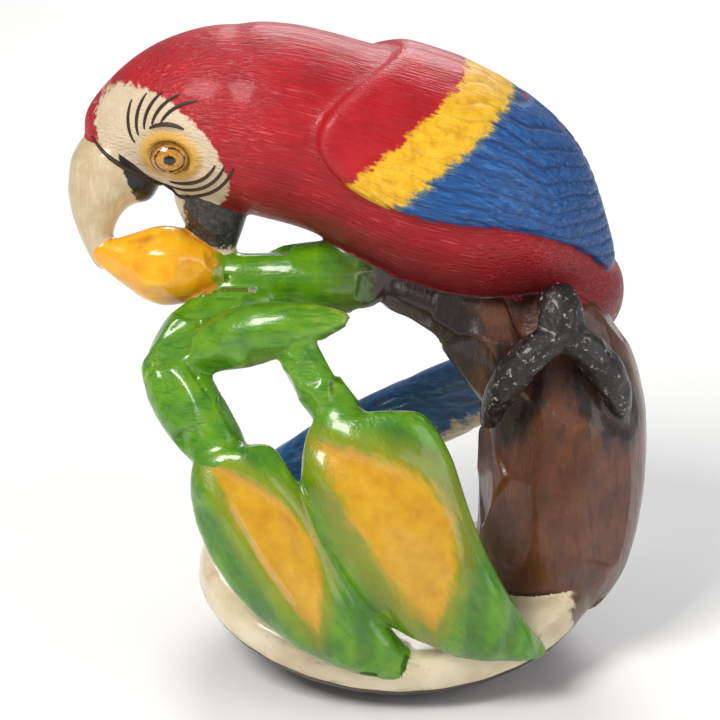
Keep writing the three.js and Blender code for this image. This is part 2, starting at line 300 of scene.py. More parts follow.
class Finish:
    """A material under construction, with short names for the nodes that every finish uses."""

    def __init__(self, name, roughness, coat=0.0):
        self.material = bpy.data.materials.new(name)
        self.material.use_nodes = True
        self.tree = self.material.node_tree
        self.shader = self.tree.nodes["Principled BSDF"]
        self.shader.inputs["Roughness"].default_value = roughness
        self.shader.inputs["Coat Weight"].default_value = coat
        self.shader.inputs["Coat Roughness"].default_value = 0.12
        self.shader.inputs["Specular IOR Level"].default_value = 0.38
        self.position = self.node("ShaderNodeTexCoord").outputs["Object"]

    def node(self, kind, **settings):
        made = self.tree.nodes.new(kind)
        for key, value in settings.items():
            setattr(made, key, value)
        return made

    def put(self, socket, value):
        """Links a socket to another node's output, or sets it to a plain value."""
        if isinstance(value, bpy.types.NodeSocket):
            self.tree.links.new(value, socket)
        else:
            socket.default_value = value

    def attribute(self, name, output="Fac"):
        return self.node("ShaderNodeAttribute", attribute_name=name).outputs[output]

    def stretched(self, vector, scale, turn=(0, 0, 0)):
        """A position scaled by a different amount along each axis."""
        made = self.node("ShaderNodeMapping")
        self.put(made.inputs["Vector"], vector)
        made.inputs["Scale"].default_value = scale
        made.inputs["Rotation"].default_value = turn
        return made.outputs["Vector"]

    def noise(self, size, vector=None, detail=3.0, rough=0.55, distortion=0.0):
        """Cloudy noise from 0 to 1 whose blotches are about the given size in metres."""
        made = self.node("ShaderNodeTexNoise")
        self.put(made.inputs["Vector"], self.position if vector is None else vector)
        made.inputs["Scale"].default_value = 1 / size
        made.inputs["Detail"].default_value = detail
        made.inputs["Roughness"].default_value = rough
        made.inputs["Distortion"].default_value = distortion
        return made.outputs["Fac"]

    def math(self, operation, first, second=0.0):
        made = self.node("ShaderNodeMath", operation=operation)
        self.put(made.inputs[0], first)
        self.put(made.inputs[1], second)
        return made.outputs[0]

    def plus(self, first, second):
        return self.math("ADD", first, second)

    def times(self, first, second):
        return self.math("MULTIPLY", first, second)

    def ragged(self, noise, amount):
        """Noise centred on 0 and spread over an amount, to break up the edge of a coat of paint."""
        return self.times(self.math("SUBTRACT", noise, 0.5), amount)

    def between(self, value, low, high, to_low=0.0, to_high=1.0):
        """Maps low..high smoothly on to to_low..to_high."""
        made = self.node("ShaderNodeMapRange", interpolation_type="SMOOTHSTEP")
        for socket, given in zip(("Value", "From Min", "From Max", "To Min", "To Max"),
                                 (value, low, high, to_low, to_high)):
            self.put(made.inputs[socket], given)
        return made.outputs["Result"]

    def part(self, vector, axis):
        """One part, X, Y or Z, of a vector."""
        made = self.node("ShaderNodeSeparateXYZ")
        self.put(made.inputs["Vector"], vector)
        return made.outputs[axis]

    def ramp(self, value, *stops):
        """A colour ramp with stops of (position, colour)."""
        made = self.node("ShaderNodeValToRGB")
        elements_of_ramp = made.color_ramp.elements
        while len(elements_of_ramp) < len(stops):
            elements_of_ramp.new(1.0)
        for element, (place, colour) in zip(elements_of_ramp, stops):
            element.position = place
            element.color = (*colour, 1)
        self.put(made.inputs["Fac"], value)
        return made.outputs["Color"]

    def over(self, amount, under, top):
        """Lays a top colour over an under colour by an amount from 0 to 1."""
        made = self.node("ShaderNodeMix", data_type="RGBA")
        self.put(made.inputs["Factor"], amount)
        for socket, value in ((made.inputs["A"], under), (made.inputs["B"], top)):
            self.put(socket, (*value, 1) if isinstance(value, tuple) else value)
        return made.outputs["Result"]

    def done(self, colour, roughness=None, height=None, relief=0.05 * mm):
        """Joins colour, roughness and a height from 0 to 1 to the shader."""
        self.put(self.shader.inputs["Base Color"], colour)
        if roughness is not None:
            self.put(self.shader.inputs["Roughness"], roughness)
        if height is not None:
            bump = self.node("ShaderNodeBump")
            bump.inputs["Distance"].default_value = relief
            bump.inputs["Strength"].default_value = 1.0
            self.put(bump.inputs["Height"], height)
            self.put(self.shader.inputs["Normal"], bump.outputs["Normal"])
        return self.material


head_low, head_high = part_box("bird_head")
body_low, body_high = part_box("bird_body")
bird_middle = (body_low.y + body_high.y) / 2
eye_low, eye_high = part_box("left_eye")
eye_centre = (eye_low + eye_high) / 2


spine_steps = 24
spine_margin = 1 * mm  # left out at each end, where the bird rounds off
slice_reach = 2.4 * mm  # half the thickness of the slice that one step looks at


def spine_heights():
    """The height of the bird's centre line at even steps of x, from the frame's solids."""
    points = np.vstack([node_triangles(node)[0] for node in ("bird_head", "bird_body")])
    steps = np.linspace(head_low.x + spine_margin, body_high.x - spine_margin, spine_steps)
    heights = []
    for x in steps:
        near = points[np.abs(points[:, 0] - x) < slice_reach]
        heights.append((near[:, 2].min() + near[:, 2].max()) / 2)
    kernel = np.array([1, 2, 3, 2, 1])
    kernel = kernel / kernel.sum()
    smooth = np.convolve(np.pad(heights, 2, mode="edge"), kernel, mode="valid")
    return steps, smooth


spine_x, spine_z = spine_heights()
spine_length = np.concatenate([[0], np.cumsum(np.hypot(np.diff(spine_x), np.diff(spine_z)))])


def along_bird(points):
    """Straightened place on the bird: distance along its spine, and the two ways across it."""
    x = np.clip(points[:, 0], spine_x[0], spine_x[-1])
    slope = np.gradient(spine_z, spine_x)
    lean = np.arctan(np.interp(x, spine_x, slope))
    rise = (points[:, 2] - np.interp(x, spine_x, spine_z)) * np.cos(lean)
    length = np.interp(x, spine_x, spine_length) + rise * np.sin(lean)
    return np.column_stack([length, points[:, 1] - bird_middle, rise])


head_length = head_high.x - head_low.x
bare_middle = (eye_centre.x - head_length / 16, eye_centre.z)
bare_half = (head_length / 2, head_length / 3)
bare_lean = math.radians(-45)  # from the forehead down to the throat


def beyond_cheek(points):
    """How far, in millimetres, a point lies outside the bare cheek, a leaning oval in side view."""
    x = points[:, 0] - bare_middle[0]
    z = points[:, 2] - bare_middle[1]
    along = (x * math.cos(bare_lean) + z * math.sin(bare_lean)) / bare_half[0]
    across = (z * math.cos(bare_lean) - x * math.sin(bare_lean)) / bare_half[1]
    return (np.hypot(along, across) - 1) * min(bare_half) / mm


# The raised lid that a small gouge leaves round each eye, and the groove outside it.
lid_share = 0.6  # half the lid's size, as a share of the eye's
lid_height = 0.2 * mm
lid_groove_depth = 0.1 * mm
lid_groove_reach = 1.42  # how far out the groove lies, as a share of the lid's reach
lid_width = 0.17  # of the lid and of its groove, as a share of the same
lid_size = (lid_share * (eye_high.x - eye_low.x), lid_share * (eye_high.z - eye_low.z))
part = part_of["plumage"]
x, _, z = places(part)
across_eye = np.hypot((x - eye_centre.x) / lid_size[0], (z - eye_centre.z) / lid_size[1])
lid_band = np.exp(-(((across_eye - 1) / lid_width) ** 2))
lid_groove = np.exp(-(((across_eye - lid_groove_reach) / lid_width) ** 2))
surface[part] += lid_groove_depth * lid_groove - lid_height * lid_band

plumage = lifted("plumage")
plumage_points = mesh_points(plumage.data)
set_attribute(plumage, "grain", along_bird(plumage_points) / mm)
set_attribute(plumage, "cheek", beyond_cheek(plumage_points))
eye_offset = (plumage_points - np.array(eye_centre)) / mm
set_attribute(plumage, "from_eye", np.hypot(eye_offset[:, 0] / 1.1, eye_offset[:, 2]))
mark_bulge(plumage)


dull_crimson = (0.30, 0.002, 0.006)
bright_crimson = (0.43, 0.003, 0.010)
belly_shade_crimson = (0.16, 0.001, 0.004)
rubbed_and_highlit_crimson = (0.78, 0.16, 0.18)
scratch_crimson = (0.22, 0.001, 0.004)
speck_pink = (0.75, 0.22, 0.2)
cheek_shade = (0.56, 0.44, 0.29)
cheek_cream = (0.70, 0.58, 0.41)
wash_yellow = (0.62, 0.33, 0.02)


def plumage_finish():
    paint = Finish("crimson_plumage", 0.4, coat=0.1)
    grain = paint.attribute("grain", "Vector")
    streaks = paint.noise(0.34, paint.stretched(grain, (0.12, 1, 1)), detail=4, rough=0.6)
    scratches = paint.noise(0.2, paint.stretched(grain, (0.05, 1, 1)), detail=2, rough=0.5)
    clouds = paint.noise(3.2 * mm, detail=3)
    specks = paint.noise(0.22 * mm, detail=2, rough=0.7)
    deep = paint.ramp(clouds, (0.3, dull_crimson), (0.7, bright_crimson))
    # painted shade: the red darkens towards the underside of the belly
    above_belly_shade = paint.between(paint.part(grain, "Z"), -7.5, -1.0)
    red = paint.over(paint.times(paint.math("SUBTRACT", 1.0, above_belly_shade), 0.75), deep, belly_shade_crimson)
    # pale scratch ridges: partly worn paint, partly a painted highlight
    pale = paint.between(scratches, 0.60, 0.68)
    pale = paint.times(pale, paint.between(clouds, 0.35, 0.65, 0.05, 0.4))
    red = paint.over(pale, red, rubbed_and_highlit_crimson)
    dark = paint.times(paint.between(streaks, 0.42, 0.34), 0.45)
    red = paint.over(dark, red, scratch_crimson)
    red = paint.over(paint.times(paint.between(specks, 0.63, 0.72), 0.14), red, speck_pink)
    ivory = paint.ramp(clouds, (0.3, cheek_shade), (0.7, cheek_cream))
    wash = paint.plus(paint.attribute("from_eye"), paint.times(specks, 0.5))
    ivory = paint.over(paint.between(wash, 3.1, 2.1, 0, 0.9), ivory, wash_yellow)
    wobble = paint.ragged(paint.noise(0.7 * mm, detail=4, rough=0.65), 1.3)
    edge = paint.plus(paint.attribute("cheek"), wobble)
    colour = paint.over(paint.between(edge, -0.12, 0.16), ivory, red)
    roughness = paint.between(streaks, 0.3, 0.7, 0.55, 0.34)
    height = paint.plus(paint.times(streaks, 0.9), paint.times(scratches, 1.1))
    return paint.done(colour, roughness, height, relief=0.14 * mm)


finished(plumage, "red_paint", plumage_finish(), "bird_head", "bird_body", "tail_coverts")

# --- Eyes -----------------------------------------------------------------------------------------
# Each eye is a low bead left standing in its carved lid, with an amber iris and a black pupil
# painted on it and a coat of varnish.


def eyeball(name, node):
    """A smooth bead that fills the box of one eye."""
    low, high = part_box(node)
    shape = bmesh.new()
    bmesh.ops.create_uvsphere(shape, u_segments=40, v_segments=24, radius=1)
    for vertex in shape.verts:
        for axis in range(3):
            vertex.co[axis] = (low[axis] + high[axis]) / 2 + vertex.co[axis] * (high[axis] - low[axis]) / 2
    mesh = bpy.data.meshes.new(name)
    shape.to_mesh(mesh)
    shape.free()
    mesh.shade_smooth()
    piece = bpy.data.objects.new(name, mesh)
    bpy.context.scene.collection.objects.link(piece)
    offset = (mesh_points(mesh) - np.array((low + high) / 2)) / np.array((high - low) / 2)
    set_attribute(piece, "across", np.hypot(offset[:, 0], offset[:, 2]))
    return piece


dark_amber = (0.30, 0.10, 0.008)
light_amber = (0.62, 0.30, 0.03)
pupil_black = (0.004, 0.003, 0.003)
lid_dark = (0.05, 0.018, 0.006)
lid_brown = (0.22, 0.09, 0.02)
iris_line = (0.03, 0.012, 0.006)


def eye_finish():
    paint = Finish("amber_eye", 0.16, coat=0.8)
    ring = paint.attribute("across")
    mottle = paint.noise(0.3 * mm, detail=3)
    ring = paint.plus(ring, paint.ragged(mottle, 0.22))
    amber = paint.ramp(mottle, (0.3, dark_amber), (0.7, light_amber))
    iris = paint.over(paint.between(ring, 0.26, 0.34), pupil_black, amber)
    lid = paint.ramp(mottle, (0.35, lid_dark), (0.6, lid_brown))
    outline = paint.times(paint.between(ring, 0.62, 0.68), paint.between(ring, 0.78, 0.72))
    iris = paint.over(outline, iris, iris_line)
    rim = paint.over(paint.between(ring, 0.8, 0.92), iris, lid)
    return paint.done(rim)


amber_eye = eye_finish()
for side in ("left", "right"):
    finished(eyeball(side + "_bead_eye", side + "_eye"), "eye_paint", amber_eye, side + "_eye")

# --- Beak -----------------------------------------------------------------------------------------
# The upper half of the beak is bare nut rubbed to a soft shine, with black paint in its hollow
# edge; the lower half is painted black, and worn to bare nut at its front.

upper_low, upper_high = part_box("upper_beak")
lower_low, lower_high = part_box("lower_beak")


def shares(points, low, high):
    """Each point's place across and up a box in side view, from 0 to 1."""
    return (points[:, 0] - low.x) / (high.x - low.x), (points[:, 2] - low.z) / (high.z - low.z)


beak_shade = (0.50, 0.38, 0.22)
beak_cream = (0.68, 0.57, 0.38)
fibre_brown = (0.36, 0.25, 0.13)
juice_yellow = (0.70, 0.36, 0.02)
gape_black = (0.012, 0.009, 0.008)


def beak_top_finish():
    paint = Finish("bare_beak", 0.33, coat=0.3)
    clouds = paint.noise(2.4 * mm, detail=4)
    fibres = paint.noise(0.3 * mm, paint.stretched(paint.position, (1, 1, 0.2)), detail=2)
    nut = paint.ramp(clouds, (0.25, beak_shade), (0.75, beak_cream))
    nut = paint.over(paint.between(fibres, 0.62, 0.5, 0, 0.25), nut, fibre_brown)
    ragged = paint.ragged(paint.noise(0.5 * mm, detail=4), 1.1)
    juice = paint.plus(paint.attribute("juice"), ragged)
    nut = paint.over(paint.between(juice, 0.25, -0.25, 0, 0.9), nut, juice_yellow)
    edge = paint.plus(paint.attribute("gape"), ragged)
    return paint.done(paint.over(paint.between(edge, 0.1, -0.12), nut, gape_black), height=fibres,
                      relief=0.03 * mm)


beak_top = lifted("beak_top")
beak_points = mesh_points(beak_top.data)
across, up = shares(beak_points, upper_low, upper_high)
beak_height = (upper_high.z - upper_low.z) / mm
gape_foot = 0.52  # the black starts this far up the beak
gape_back = 1.05  # and this far across it, less as it rises
gape_slope = 0.5
juice_back = 0.36  # the fruit's yellow stays this far back on the beak
juice_top = 0.24  # and this far up it
gape = np.maximum(gape_foot - up, gape_back - across - gape_slope * up)
set_attribute(beak_top, "gape", gape * beak_height)
set_attribute(beak_top, "juice", np.maximum(juice_back - across, up - juice_top) * beak_height)
mark_bulge(beak_top)
finished(beak_top, "ivory", beak_top_finish(), "upper_beak")


jaw_black = (0.010, 0.009, 0.010)
jaw_grey = (0.05, 0.042, 0.036)
jaw_rubbed = (0.2, 0.17, 0.13)
jaw_shade = (0.52, 0.40, 0.27)
jaw_cream = (0.68, 0.56, 0.42)


def beak_bottom_finish():
    paint = Finish("black_beak", 0.38, coat=0.2)
    mottle = paint.noise(0.4 * mm, detail=4, rough=0.65)
    black = paint.ramp(mottle, (0.35, jaw_black), (0.62, jaw_grey), (0.75, jaw_rubbed))
    wobble = paint.ragged(mottle, 2.2)
    front = paint.plus(paint.attribute("front"), wobble)
    nut = paint.ramp(mottle, (0.3, jaw_shade), (0.7, jaw_cream))
    colour = paint.over(paint.between(front, 0.15, -0.2), black, nut)
    return paint.done(colour, height=mottle, relief=0.05 * mm)


beak_bottom = lifted("beak_bottom")
across, up = shares(mesh_points(beak_bottom.data), lower_low, lower_high)
lower_height = (lower_high.z - lower_low.z) / mm
bare_front = 0.16  # how far across and up the lower beak its paint is worn away
set_attribute(beak_bottom, "front", np.minimum(across - bare_front, up - bare_front) * lower_height)
finished(beak_bottom, "black_paint", beak_bottom_finish(), "lower_beak")

# --- Feather lines inked on the cheeks -------------------------------------------------------------
# The macaw's bare face carries rows of tiny feathers, drawn here as single strokes of a fine
# brush in brown-black ink, with a heavier line where the beak meets the face.

ink_half_width = 0.19 * mm
crown_count = 5
crown_turns = (65, 125)  # degrees from the bird's rear, over its crown
crown_lean = 38  # how far a crown line turns towards the beak as it nears the eye
row_count = 3
row_turns = (-95, -5)
row_spacing = 0.75  # millimetres
row_swell = 1.0  # how much further from the eye a row ends than it starts
eye_reach = (eye_high.x - eye_low.x) / mm  # about as far out as the nearest lines
crown_reaches = (1.6 * eye_reach, 0.9 * eye_reach)
row_reach = 0.8 * eye_reach
brow_reach = 0.85 * eye_reach
crown_width, row_width, brow_width, beak_line_width = 0.8, 0.9, 1.0, 1.3  # as shares of the brush
line_steps = 26
border_step = 3  # every third point is enough to find the border of the beak


def cheek_lines():
    """Each fine line's width as a share of the brush, its turns round the eye and its reaches."""
    along = np.linspace(0, 1, line_steps)
    fan = np.linspace(*crown_turns, crown_count)
    inward = np.linspace(*crown_reaches, line_steps)
    lines = [(crown_width, turn + crown_lean * along, inward) for turn in fan]
    for row in range(row_count):
        reaches = row_reach + row_spacing * row + row_swell * along ** 2
        lines.append((row_width, np.linspace(*row_turns, line_steps), reaches))
    brow = np.full(line_steps, brow_reach)
    lines.append((brow_width, np.linspace(*crown_turns, line_steps), brow))
    return lines


def beak_line(side):
    """The heavier line on the border of the face and the beak, as turns and reaches."""
    points = mesh_points(plumage.data)[::border_step]
    points = points[side * (points[:, 1] - bird_middle) > 0]
    beak_tree = face_trees[1]
    near = [point for point in points if beak_tree.find_nearest(Vector(point))[3] < ink_half_width]
    across, up = (np.array(near)[:, [0, 2]] - np.array([eye_centre.x, eye_centre.z])).T
    turns = np.degrees(np.arctan2(up, across)) % 360
    curve = np.polyfit(turns, np.hypot(across, up) / mm, 3)
    drawn = np.linspace(*np.percentile(turns, (5, 95)), line_steps)
    return beak_line_width, drawn, np.polyval(curve, drawn)


def drawn_on(name, side, targets):
    """The strokes as smooth lines laid on one side of the head."""
    lines = bpy.data.curves.new(name, "CURVE")
    lines.dimensions = "3D"
    start_y = bird_middle + side * (body_high.y - body_low.y)
    for width, turns, reaches in [*cheek_lines(), beak_line(side)]:
        laid = []
        for share, turn, away in zip(np.linspace(0, 1, len(turns)), np.radians(turns), reaches * mm):
            x = eye_centre.x + away * math.cos(turn)
            origin = Vector((x, start_y, eye_centre.z + away * math.sin(turn)))
            hits = [tree.ray_cast(origin, Vector((0, -side, 0))) for tree in targets]
            hits = [hit for hit in hits if hit[0] is not None]
            if hits:
                nearest = min(hits, key=lambda hit: hit[3])
                laid.append((nearest[0], width * (0.35 + 0.65 * math.sin(math.pi * share) ** 0.5)))
        stroke = lines.splines.new("POLY")
        stroke.points.add(len(laid) - 1)
        for point, (place, radius) in zip(stroke.points, laid):
            point.co = (*place, 1)
            point.radius = radius
    made = bpy.data.objects.new(name, lines)
    bpy.context.scene.collection.objects.link(made)
    return made


def brush_tree():
    """Turns lines into thin rounded strokes."""
    tree = bpy.data.node_groups.new("brush_strokes", "GeometryNodeTree")
    for label, kind in (("Lines", "Geometry"), ("Half width", "Float"), ("Ink", "Material")):
        tree.interface.new_socket(label, in_out="INPUT", socket_type="NodeSocket" + kind)
    tree.interface.new_socket("Strokes", in_out="OUTPUT", socket_type="NodeSocketGeometry")
    source = tree.nodes.new("NodeGroupInput")
    result = tree.nodes.new("NodeGroupOutput")
    tip = tree.nodes.new("GeometryNodeCurvePrimitiveCircle")
    tip.inputs["Resolution"].default_value = 8
    swept = tree.nodes.new("GeometryNodeCurveToMesh")
    swept.inputs["Fill Caps"].default_value = True
    realized = tree.nodes.new("GeometryNodeRealizeInstances")
    inked = tree.nodes.new("GeometryNodeSetMaterial")
    tree.links.new(source.outputs["Lines"], swept.inputs["Curve"])
    tree.links.new(source.outputs["Half width"], tip.inputs["Radius"])
    tree.links.new(tip.outputs["Curve"], swept.inputs["Profile Curve"])
    if "Scale" in swept.inputs:
        width = tree.nodes.new("GeometryNodeInputRadius")
        tree.links.new(width.outputs["Radius"], swept.inputs["Scale"])
    tree.links.new(swept.outputs["Mesh"], realized.inputs["Geometry"])
    tree.links.new(realized.outputs["Geometry"], inked.inputs["Geometry"])
    tree.links.new(source.outputs["Ink"], inked.inputs["Material"])
    tree.links.new(inked.outputs["Geometry"], result.inputs["Strokes"])
    return tree


def modified(source, tree, name, **values):
    """The plain mesh that a node tree makes of an object."""
    modifier = source.modifiers.new(tree.name, "NODES")
    modifier.node_group = tree
    for item in tree.interface.items_tree:
        if item.name in values:
            modifier[item.identifier] = values[item.name]
    evaluated = source.evaluated_get(bpy.context.evaluated_depsgraph_get())
    mesh = bpy.data.meshes.new_from_object(evaluated)
    mesh.name = name
    made = bpy.data.objects.new(name, mesh)
    bpy.data.objects.remove(source)
    bpy.context.scene.collection.objects.link(made)
    return made


ink_black = (0.020, 0.010, 0.006)
ink_brown = (0.055, 0.026, 0.014)


def ink_finish():
    paint = Finish("brown_ink", 0.45)
    return paint.done(paint.ramp(paint.noise(0.4 * mm), (0.3, ink_black), (0.7, ink_brown)))


def surface_tree(piece):
    mesh = piece.data
    points = [vertex.co.copy() for vertex in mesh.vertices]
    return BVHTree.FromPolygons(points, [tuple(face.vertices) for face in mesh.polygons])


brown_ink = ink_finish()
face_trees = [surface_tree(plumage), surface_tree(beak_top)]
brush = brush_tree()
for name, side in (("left_cheek_ink", -1), ("right_cheek_ink", 1)):
    lines = drawn_on(name + "_lines", side, face_trees)
    strokes = modified(lines, brush, name, **{"Half width": ink_half_width, "Ink": brown_ink})
    strokes.data.shade_smooth()
    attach(strokes, "root")

# --- Wings ----------------------------------------------------------------------------------------
# Each folded wing stands a little proud of the body. Its shoulder is red, a yellow band runs
# from the back to the flank, and the long feathers are blue, with shallow grooves cut between
# them and fine scratches along them. The grooves are darkened with painted shade.

groove_spacing = 1.05  # millimetres
groove_depth = 0.13 * mm
groove_half_width = 0.22  # millimetres
wing_low, wing_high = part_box("left_wing")
wing_height = (wing_high.z - wing_low.z) / mm
blue_end = wing_height / 6
yellow_end = wing_height / 2.4


def mesh_normals(mesh):
    normals = np.zeros(len(mesh.vertices) * 3, np.float32)
    mesh.vertex_normals.foreach_get("vector", normals)
    return normals.reshape(-1, 3)


def push(piece, amounts):
    """Moves each vertex along its normal."""
    points = mesh_points(piece.data) + mesh_normals(piece.data) * amounts[:, None]
    piece.data.vertices.foreach_set("co", points.astype(np.float32).reshape(-1))
    piece.data.update()


shoulder_dull = (0.33, 0.002, 0.007)
shoulder_bright = (0.47, 0.004, 0.012)
deep_yellow = (0.62, 0.30, 0.006)
warm_yellow = (0.82, 0.46, 0.015)
pale_yellow = (0.88, 0.56, 0.05)
deep_blue = (0.004, 0.034, 0.13)
wing_blue = (0.009, 0.085, 0.29)
pale_blue = (0.03, 0.16, 0.42)
groove_shade_blue = (0.003, 0.018, 0.08)
groove_shade_yellow = (0.45, 0.24, 0.01)
yellow_in_blue = (0.25, 0.28, 0.03)
scratch_white = (0.45, 0.52, 0.55)


def wing_finish():
    paint = Finish("folded_wing", 0.4, coat=0.12)
    grain = paint.attribute("grain", "Vector")
    streaks = paint.noise(0.3, paint.stretched(grain, (0.12, 1, 1)), detail=4, rough=0.6)
    scratches = paint.noise(0.17, paint.stretched(grain, (0.05, 1, 1)), detail=2)
    clouds = paint.noise(2.6 * mm, detail=4)
    blotches = paint.noise(0.9 * mm, detail=4, rough=0.6)
    red = paint.ramp(clouds, (0.3, shoulder_dull), (0.7, shoulder_bright))
    yellow = paint.ramp(blotches, (0.3, deep_yellow), (0.55, warm_yellow), (0.8, pale_yellow))
    blue = paint.ramp(streaks, (0.3, deep_blue), (0.55, wing_blue), (0.75, pale_blue))
    lines = paint.attribute("groove")
    # painted shade darkens the blue and the yellow in the feather grooves
    blue = paint.over(paint.between(lines, 0.25, 0.9, 0, 0.6), blue, groove_shade_blue)
    yellow = paint.over(paint.between(lines, 0.3, 0.9, 0, 0.3), yellow, groove_shade_yellow)
    worn = paint.times(paint.between(scratches, 0.62, 0.68), 0.12)
    ragged = paint.ragged(blotches, 2.6)
    ragged = paint.plus(ragged, paint.ragged(streaks, 1.6))
    band = paint.plus(paint.attribute("band"), ragged)
    green = paint.over(0.5, blue, yellow_in_blue)
    feathers = paint.over(paint.between(band, blue_end - 0.9, blue_end - 0.1), blue, green)
    feathers = paint.over(paint.between(band, blue_end - 0.4, blue_end + 0.4), feathers, yellow)
    scratched = paint.times(worn, paint.between(band, yellow_end, blue_end))
    feathers = paint.over(scratched, feathers, scratch_white)
    colour = paint.over(paint.between(band, yellow_end - 0.3, yellow_end + 0.3), feathers, red)
    height = paint.plus(paint.times(streaks, 0.8), paint.times(scratches, 0.9))
    return paint.done(colour, paint.between(streaks, 0.3, 0.7, 0.48, 0.3), height, relief=0.12 * mm)


def wing_marks(piece, node):
    """Cuts the grooves and stores where the feathers and the bands of paint lie."""
    low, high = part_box(node)
    points = mesh_points(piece.data)
    grain = along_bird(points) / mm
    across, up = shares(points, low, high)
    band = (up - across) * (high.z - low.z) / mm
    wander = 0.25 * np.sin(grain[:, 0] * 0.55) + 0.18 * np.sin(grain[:, 0] * 1.3 + grain[:, 2])
    row = (grain[:, 2] + wander + 0.12 * grain[:, 0]) / groove_spacing
    groove = np.clip(1 - np.abs(row - np.round(row)) * groove_spacing / groove_half_width, 0, 1)
    inside = np.clip((yellow_end - band) / 2, 0, 1)
    groove = groove * inside
    set_attribute(piece, "grain", grain)
    set_attribute(piece, "band", band)
    set_attribute(piece, "groove", groove)
    push(piece, -groove_depth * groove)


painted_wing = wing_finish()
for side in ("left", "right"):
    wing = lifted(side + "_folded_wing")
    wing_marks(wing, side + "_wing")
    finished(wing, "wing_paint", painted_wing, side + "_wing")

# --- Tail -----------------------------------------------------------------------------------------
# The long tail curls down round the back of the nut, blue on its upper face and left pale on
# its lower one, with the feathers marked by a few long grooves.

tail_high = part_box("tail")[1]
tail_groove_spacing = 1.6  # millimetres
tail_groove_half_width = 0.25  # millimetres
tail_groove_fall = 5.5  # millimetres for each radian round the nut
tail_groove_depth = 0.1 * mm
edge_contrast = 1.6  # how sharply blue gives way to bare nut as the tail turns down
edge_shift = 0.5
tail_middle = (body_low + body_high) / 2


tail_deep = (0.006, 0.05, 0.16)
tail_blue = (0.02, 0.14, 0.36)
tail_pale = (0.08, 0.25, 0.5)
tail_shade = (0.50, 0.42, 0.27)
tail_cream = (0.70, 0.62, 0.45)


def tail_finish():
    paint = Finish("tail_feathers", 0.3, coat=0.5)
    streaks = paint.noise(0.35, paint.stretched(paint.attribute("grain", "Vector"), (0.12, 1, 1)), detail=4)
    blue = paint.ramp(streaks, (0.3, tail_deep), (0.6, tail_blue), (0.8, tail_pale))
    nut = paint.ramp(streaks, (0.3, tail_shade), (0.7, tail_cream))
    ragged = paint.ragged(paint.noise(0.8 * mm, detail=4), 1.6)
    under = paint.plus(paint.attribute("underside"), ragged)
    colour = paint.over(paint.between(under, -0.25, 0.25), nut, blue)
    return paint.done(colour, height=streaks, relief=0.1 * mm)


long_tail = lifted("long_tail")
tail_points = mesh_points(long_tail.data)
tail_normals = mesh_normals(long_tail.data)
turn = np.arctan2(tail_points[:, 1], tail_points[:, 0] - tail_middle.x)
radius = np.hypot(tail_points[:, 1], tail_points[:, 0] - tail_middle.x)
set_attribute(long_tail, "grain", np.column_stack([turn * tail_high.y, radius, tail_points[:, 2]]) / mm)
set_attribute(long_tail, "underside", tail_normals[:, 2] * edge_contrast + edge_shift)
tail_row = (tail_points[:, 2] / mm + tail_groove_fall * turn) / tail_groove_spacing
from_groove = np.abs(tail_row - np.round(tail_row)) * tail_groove_spacing
push(long_tail, -tail_groove_depth * np.clip(1 - from_groove / tail_groove_half_width, 0, 1))
finished(long_tail, "tail_paint", tail_finish(), "tail")

# --- Branch ---------------------------------------------------------------------------------------
# The perch is a thick branch cut in flat facets with a knife and stained red-brown. It is
# stained near black round the claws, and painted shade darkens it under the bird and in the cuts.

branch_low, branch_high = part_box("branch")
facet_count = 60
facet_seed = 7
facet_reach = 0.42 * mm
facet_blend = 0.22 * mm  # how softly one cut runs into the next
facet_sink = 0.3  # how far the cuts sink, as a share of their reach
dark_reach = 2.4  # how far, in millimetres, the black round a claw runs on to the branch


def clear_of_others(piece, name, fade=1.5 * mm):
    """1 on the open surface of a piece, falling to 0 where it meets another."""
    points = mesh_points(piece.data)
    mine = sampled((owner == list(elements).index(name)).astype(np.float32), points) > 0.5
    return np.clip(sampled(second - closest, points) / fade, 0, 1) * mine


def faceted(piece, name, count, seed, reach):
    """Moves each vertex on to the flat of the nearest knife cuts, with their edges a little soft."""
    points = mesh_points(piece.data)
    normals = mesh_normals(piece.data)
    chosen = np.random.default_rng(seed).choice(len(points), count, replace=False)
    gap = np.linalg.norm(points[:, None, :] - points[None, chosen, :], axis=2)
    gap += np.where(normals @ normals[chosen].T < 0.2, 1.0, 0.0)
    flat = points @ normals[chosen].T - np.einsum("ij,ij->i", points[chosen], normals[chosen])
    share = np.exp((gap.min(axis=1, keepdims=True) - gap) / facet_blend)
    flat = (share * flat).sum(axis=1) / share.sum(axis=1)
    push(piece, (np.clip(-flat, -reach, reach) - facet_sink * reach) * clear_of_others(piece, name))


def away_from(points, *nodes):
    """How far each point lies from the frame's solids of the given nodes."""
    trees = [BVHTree.FromPolygons(*(array.tolist() for array in node_triangles(node))) for node in nodes]
    return np.array([min(tree.find_nearest(Vector(point))[3] for tree in trees) for point in points])


stain_dark = (0.060, 0.019, 0.009)
stain_brown = (0.105, 0.034, 0.014)
stain_light = (0.17, 0.056, 0.022)
grain_dark = (0.030, 0.010, 0.006)
speck_tan = (0.30, 0.14, 0.07)
stain_and_shade_black = (0.012, 0.008, 0.007)
hollow_shade_dark = (0.030, 0.012, 0.008)
ridge_tan = (0.34, 0.15, 0.07)


